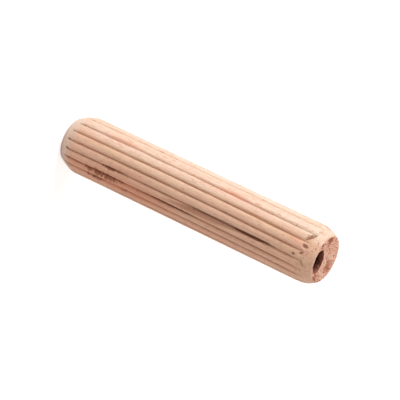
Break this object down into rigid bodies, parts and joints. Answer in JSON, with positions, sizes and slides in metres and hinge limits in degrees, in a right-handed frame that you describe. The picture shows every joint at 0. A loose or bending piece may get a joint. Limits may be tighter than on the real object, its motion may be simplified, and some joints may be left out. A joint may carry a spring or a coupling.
{
  "type": "fluted wooden dowel pin",
  "caption": "Short round hardwood pin with straight flutes along its whole length and chamfered ends, for pinning wooden boards together; one end has a natural pit.",
  "frame": {"origin": "centre of the flat at the lower, plain end of the pin", "axes": "+Z along the pin and its grain, from the plain end up to the pitted end; -Y and +X face the pictured side, with the gouged flute near +X"},
  "size_m": [0.008, 0.008, 0.04],
  "materials": {
    "beech": "bare sawn and pressed beech, dry and matt"
  },
  "bodies": {
    "root": {"dowel_pin": "beech"}
  },
  "joints": []
}
